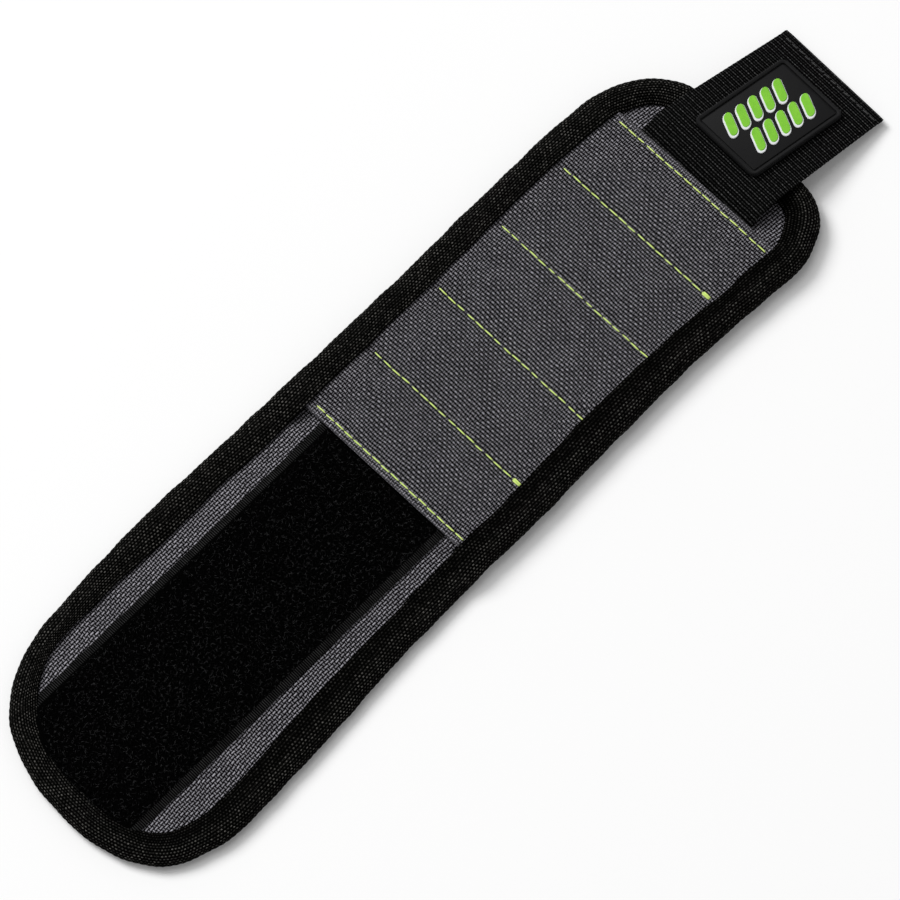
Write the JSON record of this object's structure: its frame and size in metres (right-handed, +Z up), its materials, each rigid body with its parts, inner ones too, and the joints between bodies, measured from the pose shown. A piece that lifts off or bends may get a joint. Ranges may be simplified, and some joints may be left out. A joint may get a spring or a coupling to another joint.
{
  "type": "magnetic wristband",
  "caption": "Padded tool wristband with stitched magnet pockets, bound edge, a loop-tape end and a drooping hook tab; it wraps into a ring at its seams.",
  "frame": {"origin": "on the surface that the open band lies on, under the middle of its whole length and width", "axes": "+X along the band from the round loop end to the hook tab, +Y to the left seen from the loop end, +Z up out of the face"},
  "size_m": [0.335, 0.088, 0.0135],
  "materials": {
    "ballistic_nylon": "charcoal basket-weave nylon",
    "binding_tape": "black woven edge tape",
    "padded_mesh": "black padded spacer mesh",
    "loop_pile": "black fuzzy loop tape",
    "ribbed_webbing": "black ribbed webbing",
    "hook_tape": "black moulded hooks",
    "rubber": "matte dark grey soft rubber",
    "foam": "grey foam sheet",
    "nickel": "nickel-plated magnet"
  },
  "bodies": {
    "loop_1": {"loop_1_face": "ballistic_nylon", "loop_1_lining": "padded_mesh", "loop_1_tape": "loop_pile", "loop_1_binding": "binding_tape"},
    "loop_2": {"loop_2_face": "ballistic_nylon", "loop_2_lining": "padded_mesh", "loop_2_tape": "loop_pile", "loop_2_binding_left": "binding_tape", "loop_2_binding_right": "binding_tape"},
    "loop_3": {"loop_3_face": "ballistic_nylon", "loop_3_lining": "padded_mesh", "loop_3_tape": "loop_pile", "loop_3_binding_left": "binding_tape", "loop_3_binding_right": "binding_tape"},
    "pocket_1": {"pocket_1_face": "ballistic_nylon", "pocket_1_lining": "padded_mesh", "pocket_1_carrier": "foam", "pocket_1_magnet_left": "nickel", "pocket_1_magnet_centre": "nickel", "pocket_1_magnet_right": "nickel", "pocket_1_binding_left": "binding_tape", "pocket_1_binding_right": "binding_tape"},
    "pocket_2": {"pocket_2_face": "ballistic_nylon", "pocket_2_lining": "padded_mesh", "pocket_2_carrier": "foam", "pocket_2_magnet_left": "nickel", "pocket_2_magnet_centre": "nickel", "pocket_2_magnet_right": "nickel", "pocket_2_binding_left": "binding_tape", "pocket_2_binding_right": "binding_tape"},
    "pocket_3": {"pocket_3_face": "ballistic_nylon", "pocket_3_lining": "padded_mesh", "pocket_3_carrier": "foam", "pocket_3_magnet_left": "nickel", "pocket_3_magnet_centre": "nickel", "pocket_3_magnet_right": "nickel", "pocket_3_binding_left": "binding_tape", "pocket_3_binding_right": "binding_tape"},
    "pocket_4": {"pocket_4_face": "ballistic_nylon", "pocket_4_lining": "padded_mesh", "pocket_4_carrier": "foam", "pocket_4_magnet_left": "nickel", "pocket_4_magnet_centre": "nickel", "pocket_4_magnet_right": "nickel", "pocket_4_binding_left": "binding_tape", "pocket_4_binding_right": "binding_tape"},
    "pocket_5": {"pocket_5_face": "ballistic_nylon", "pocket_5_lining": "padded_mesh", "pocket_5_carrier": "foam", "pocket_5_magnet_left": "nickel", "pocket_5_magnet_centre": "nickel", "pocket_5_magnet_right": "nickel", "pocket_5_binding_left": "binding_tape", "pocket_5_binding_right": "binding_tape"},
    "flap": {"flap_face": "ballistic_nylon", "flap_lining": "padded_mesh", "flap_binding": "binding_tape"},
    "tab": {"tab_webbing": "ribbed_webbing", "tab_hook": "hook_tape", "tab_badge": "rubber"}
  },
  "joints": [
    {"name": "wrap", "type": "hinge", "parent": "pocket_3", "child": "pocket_2", "pos_m": [0.02996, 0, 0], "axis": [0, -1, 0], "range_deg": [0, 33.08]},
    {"name": "seam_2_fold", "type": "hinge", "parent": "pocket_2", "child": "pocket_1", "pos_m": [0.00146, 0, 0], "axis": [0, -1, 0], "range_deg": [0, 29.77]},
    {"name": "loop_hem_fold", "type": "hinge", "parent": "pocket_1", "child": "loop_3", "pos_m": [-0.02554, 0, 0], "axis": [0, -1, 0], "range_deg": [0, 39.58]},
    {"name": "loop_bend_2", "type": "hinge", "parent": "loop_3", "child": "loop_2", "pos_m": [-0.07287, 0, 0], "axis": [0, -1, 0], "range_deg": [0, 59.12]},
    {"name": "loop_bend_1", "type": "hinge", "parent": "loop_2", "child": "loop_1", "pos_m": [-0.12021, 0, 0], "axis": [0, -1, 0], "range_deg": [0, 73.5]},
    {"name": "seam_4_fold", "type": "hinge", "parent": "pocket_3", "child": "pocket_4", "pos_m": [0.05796, 0, 0], "axis": [0, 1, 0], "range_deg": [0, 36.73]},
    {"name": "seam_5_fold", "type": "hinge", "parent": "pocket_4", "child": "pocket_5", "pos_m": [0.08496, 0, 0], "axis": [0, 1, 0], "range_deg": [0, 39.53]},
    {"name": "flap_fold", "type": "hinge", "parent": "pocket_5", "child": "flap", "pos_m": [0.11046, 0, 0], "axis": [0, 1, 0], "range_deg": [0, 38.19]},
    {"name": "tab_lift", "type": "hinge", "parent": "flap", "child": "tab", "pos_m": [0.11046, 0, 0.0072], "axis": [0, -1, 0], "range_deg": [0, 110]}
  ],
  "couplings": [
    {"joint": "seam_2_fold", "follows": "wrap", "ratio": 0.89977},
    {"joint": "loop_hem_fold", "follows": "wrap", "ratio": 1.1964},
    {"joint": "loop_bend_2", "follows": "wrap", "ratio": 1.7871},
    {"joint": "loop_bend_1", "follows": "wrap", "ratio": 2.2218},
    {"joint": "seam_4_fold", "follows": "wrap", "ratio": 1.1101},
    {"joint": "seam_5_fold", "follows": "wrap", "ratio": 1.1949},
    {"joint": "flap_fold", "follows": "wrap", "ratio": 1.1544}
  ]
}
